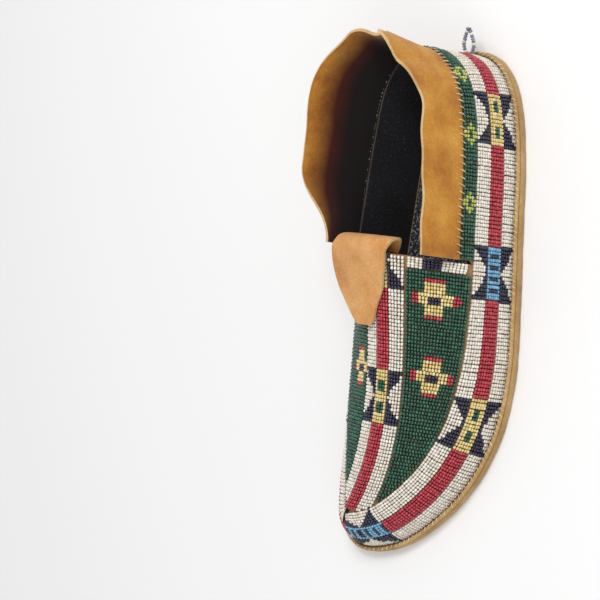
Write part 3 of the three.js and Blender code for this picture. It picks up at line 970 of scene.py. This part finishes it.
# ---- Collar ----
# Waves of each half's rim: turns from throat to heel, phase in turns, size in mm.
RIM_WAVES = {"lateral": ((2.2, 0.2, 0.5), (5.3, 0.6, 0.25)), "medial": ((2.6, 0.1, 1.3), (6.1, 0.5, 0.8))}
COLLAR_STITCHES = 34


def collar_grid(side, columns=90, rows=16):
    """The collar half as a soft standing sheet whose rim wanders in and out."""
    place = np.linspace(0, 1, columns)[:, None]
    along = np.linspace(0, 1, rows)[None, :]
    direction = math.copysign(1, HEEL_S[side] - THROAT_S[side])
    s_from = THROAT_S[side] + direction * ANKLE_START / PERIMETER
    s_to = HEEL_S[side] - direction * COLLAR_SPLIT / PERIMETER
    s = mix(s_from, s_to, place) + 0 * along
    height = stops(COLLAR[side], 1, place) * along
    lean = np.radians(stops(COLLAR[side], 2, place))
    waves = sum(size * np.sin(2 * np.pi * (turns * place + phase)) for turns, phase, size in RIM_WAVES[side])
    height = height + 0.5 * waves * along**2
    _, inward = edge(s)
    points = wall(s, COLLAR_BASE)
    sideways = np.cos(lean) * height + waves * along**1.5 * np.sin(lean)
    points[..., :2] += inward * sideways[..., None]
    points[..., 2] += np.sin(lean) * height
    return points


def blend_points(side):
    """Two points in the middle of the collar's box: one just over its foot and one at 0.72 of its height."""
    low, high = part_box(f"collar_{side}")
    middle_y = mix(low[1], high[1], 0.5)
    x = (low[0] + high[0]) / 2
    start = (x, middle_y + 0.012, low[2] + 0.001)
    end = (x, middle_y - 0.008, mix(low[2], high[2], 0.72))
    return start, end


def add_collar(side):
    grid = collar_grid(side)
    collar = thicken(f"collar_hide_{side}", [(grid, side == "medial")], -HIDE / 2, HIDE / 2,
                     [COLLAR_OUT, COLLAR_IN, CUT_EDGE])
    start, end = blend_points(side)
    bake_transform(collar)
    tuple(start)
    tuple(end)
    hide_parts(f"collar_{side}")
    stitch_places = np.linspace(0.01, 0.985, COLLAR_STITCHES)
    direction = math.copysign(1, HEEL_S[side] - THROAT_S[side])
    s = mix(THROAT_S[side] + direction * 3 / PERIMETER, HEEL_S[side], stitch_places)
    _, inward = edge(s)
    outward = np.concatenate([-inward, np.zeros((len(s), 1))], 1)
    low = wall(s, BAND + ANKLE - 0.4) + outward * 1.3
    high = wall(s + direction * 1.2 / PERIMETER, COLLAR_BASE + 2.4) + outward * 0.95
    stitches = tubes(f"collar_stitches_{side}", arcs(low, high, outward * 0.5), 0.34, THREAD)
    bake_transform(stitches)
    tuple(start)
    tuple(end)
    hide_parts(f"collar_seam_thread_{side}")


# ---- Heel seam and loop ----
HEEL_STITCH = {"lowest": 11.5, "pitch": 2.6, "reach": 1.9, "rise": 1.3}


def add_heel_seam():
    """Slanted stitches that close the bare strip down the middle of the heel."""
    heights = np.arange(HEEL_STITCH["lowest"], BAND + ANKLE - 1, HEEL_STITCH["pitch"])
    _, inward = edge(0.0)
    outward = np.array([-inward[0], -inward[1], 0.0])
    reach = HEEL_STITCH["reach"] / PERIMETER
    starts = wall(np.full(len(heights), reach), heights) + outward * 0.4
    ends = wall(np.full(len(heights), -reach), heights + HEEL_STITCH["rise"]) + outward * 0.4
    paths = arcs(starts, ends, np.tile(outward * 0.9, (len(heights), 1)))
    stitches = tubes("heel_stitches", paths, 0.36, THREAD)
    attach(stitches, "shoe")
    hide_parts("heel_seam_thread")


# The loop seen from above: across in half widths, out in lengths.
LOOP_SHAPE = [(-0.6, 0), (-1, 0.3), (-0.75, 0.62), (0, 1), (0.75, 0.62), (1, 0.3), (0.6, 0)]
LOOP = {"height": 5.5, "length": 12, "half": 3.2, "clear": 2.6, "rise": 0.25, "cord": 0.55}
LOOP_BEAD = {"radius": 1.1, "length": 1.2, "pitch": 1.3}


def add_heel_loop():
    """A pointed loop of thong strung with blue beads, standing out behind the heel."""
    root = wall(0.0, LOOP["height"])
    corners = [(root[0] + across * LOOP["half"], root[1] + LOOP["clear"] + out * LOOP["length"],
                root[2] + out * LOOP["length"] * LOOP["rise"]) for across, out in LOOP_SHAPE]
    path = catmull_rom(corners, 8, closed=False)
    cord = tubes("heel_loop_thong", [path], LOOP["cord"], CUT_EDGE, sides=8)
    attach(cord, "loop")
    along = np.r_[0, np.cumsum(np.linalg.norm(np.diff(path, axis=0), axis=1))]
    count = int(along[-1] / LOOP_BEAD["pitch"])
    places = (np.arange(count) + 0.5) * along[-1] / count
    centres = np.stack([np.interp(places, along, path[:, k]) for k in range(3)], 1)
    ahead = np.stack([np.interp(places + 0.4, along, path[:, k]) for k in range(3)], 1)
    behind = np.stack([np.interp(places - 0.4, along, path[:, k]) for k in range(3)], 1)
    beads = Beads()
    colours = ["slate" if k % 4 else "white" for k in range(count)]
    beads.add_row(centres, ahead - behind, np.tile((0, 0, 1.0), (count, 1)), colours)
    piece = beads.build("heel_loop_beads", LOOP_BEAD["radius"], LOOP_BEAD["length"])
    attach(piece, "loop")
    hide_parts("heel_loop")


# ---- Tongue ----
# From the root inside the throat round the fold to the tip: y from the throat, height over the ridge,
# half width, centre from the ridge, and share of the vamp's arch.
TONGUE_ROWS = [
    (-12, -4.8, 10, -6, 1.0), (-4, -5.2, 10, -6, 1.0), (2, -6.4, 11, -6, 0.9), (5.0, -5.0, 13.5, -7, 0.7),
    (7.0, -2.2, 16.5, -8, 0.45), (7.3, 0.6, 18.5, -9.5, 0.25), (6.0, 3.2, 19.5, -11, 0.2),
    (3.4, 4.4, 20, -12.5, 0.2), (0, 4.4, 20, -14, 0.2), (-9, 3.9, 19, -14.5, 0.2), (-18, 3.3, 16.5, -14, 0.2),
    (-26, 3.1, 11.5, -13, 0.2),
    (-33, 3.1, 7.5, -11.3, 0.2), (-36, 3.1, 4.5, -11, 0.2),
]


def tongue_grid(rows=80, columns=25):
    table = catmull_rom(TONGUE_ROWS, 8, closed=False)
    y, lift, half, centre, roundness = (table[:, k][:, None] for k in range(5))
    y = THROAT_Y + y
    part = np.linspace(-1, 1, columns)[None, :]
    ridge_x, ridge_z = ridge_at(np.minimum(y, THROAT_Y))
    foot = foot_at("lateral", THROAT_Y)
    throat_half = foot[0] - RIDGE_X
    across = centre + part * half
    arch = np.cos(np.pi / 2 * np.minimum(1, np.abs(across) / throat_half))
    z = ridge_z + (foot[2] - ridge_z) * (1 - arch) * roundness + lift
    return np.stack([ridge_x + across, y + 0 * part, z], -1)


TONGUE_THICKNESS = 1.3
TONGUE_BEND = (-3.4, 0.4)  # two distances in mm over its pivot


def add_tongue():
    half = TONGUE_THICKNESS / 2
    finishes = [TONGUE_HIDE, TONGUE_HIDE, CUT_EDGE]
    tongue = thicken("tongue_suede", [(tongue_grid(), False)], -half, half, finishes)
    pivot = next(joint for joint in frame["joints"] if joint["name"] == "tongue_fold")["pos_m"]
    away = np.array((0, -math.sin(RIDGE_SLOPE), math.cos(RIDGE_SLOPE))) * MM
    start, end = (np.array(pivot) + reach * away for reach in TONGUE_BEND)
    tuple(start)
    tuple(end)
    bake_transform(tongue)
    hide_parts("tongue_flap", "tongue_root")


# ---- Studio ----
VIEW = {"azimuth": 90, "elevation": 50, "roll": 8, "distance": 1000, "scale": 0.497}
VIEW_TARGET = (0, 0, 25)
TARGET_OFF_CENTRE = (126, 1)  # right and up of the middle, in 600ths of the image
IMAGE_HALF = 300
FLOOR_HALF = 2000


def add_camera():
    """Looks from the outer side and above, nearly parallel, rolled so that the toe points down."""
    azimuth, elevation, roll = (math.radians(VIEW[key]) for key in ("azimuth", "elevation", "roll"))
    back = Vector((math.sin(azimuth) * math.cos(elevation), -math.cos(azimuth) * math.cos(elevation),
                   math.sin(elevation)))
    right = Vector((0, 1, 0)).cross(back).normalized()
    up = back.cross(right)
    right, up = (right * math.cos(roll) + up * math.sin(roll), up * math.cos(roll) - right * math.sin(roll))
    place = Vector(VIEW_TARGET) + back * VIEW["distance"]
    aim = Vector(VIEW_TARGET) - (right * TARGET_OFF_CENTRE[0] + up * TARGET_OFF_CENTRE[1]) * VIEW["scale"]
    back = (place - aim).normalized()
    right = up.cross(back).normalized()
    up = back.cross(right)
    turned = Matrix((right, up, back)).transposed()
    camera = bpy.data.objects.new("camera", bpy.data.cameras.new("camera"))
    camera.data.angle = 2 * math.atan(IMAGE_HALF * VIEW["scale"] / VIEW["distance"])
    camera.matrix_world = Matrix.Translation(place * MM) @ turned.to_4x4()
    bpy.context.scene.collection.objects.link(camera)
    bpy.context.scene.camera = camera


def add_light(name, place, size, power):
    data = bpy.data.lights.new(name, "AREA")
    data.shape = "DISK"
    data.size = size
    data.energy = power
    light = bpy.data.objects.new(name, data)
    light.location = place
    light.rotation_euler = (-Vector(place)).to_track_quat("-Z", "Y").to_euler()
    bpy.context.scene.collection.objects.link(light)


def add_studio():
    world = bpy.data.worlds.new("studio")
    world.use_nodes = True
    world.node_tree.nodes["Background"].inputs["Color"].default_value = (1, 1, 1, 1)
    world.node_tree.nodes["Background"].inputs["Strength"].default_value = 0.66
    bpy.context.scene.world = world
    bpy.context.scene.view_settings.view_transform = "Standard"
    add_light("key", (0.25, 0.55, 0.95), 0.5, 6.5)
    add_light("fill", (0.6, -0.6, 0.8), 0.9, 2.6)
    corners = [(x * FLOOR_HALF, y * FLOOR_HALF, 0) for x, y in ((-1, -1), (1, -1), (1, 1), (-1, 1))]
    floor = new_object("floor", np.array(corners, float), [(0, 1, 2, 3)])
    made, _, _, shader = material("floor_white")
    shader.inputs["Base Color"].default_value = (0.84, 0.84, 0.84, 1)
    shader.inputs["Roughness"].default_value = 1.0
    floor.data.materials.append(made)


add_camera()
add_studio()
add_sole()
add_welt()
dress_insole()
add_upper()
add_band()
add_ankle()
add_strip()
add_panels()
add_throat_lane()
for collar_side in SIDES:
    add_collar(collar_side)
add_heel_seam()
add_heel_loop()
add_tongue()
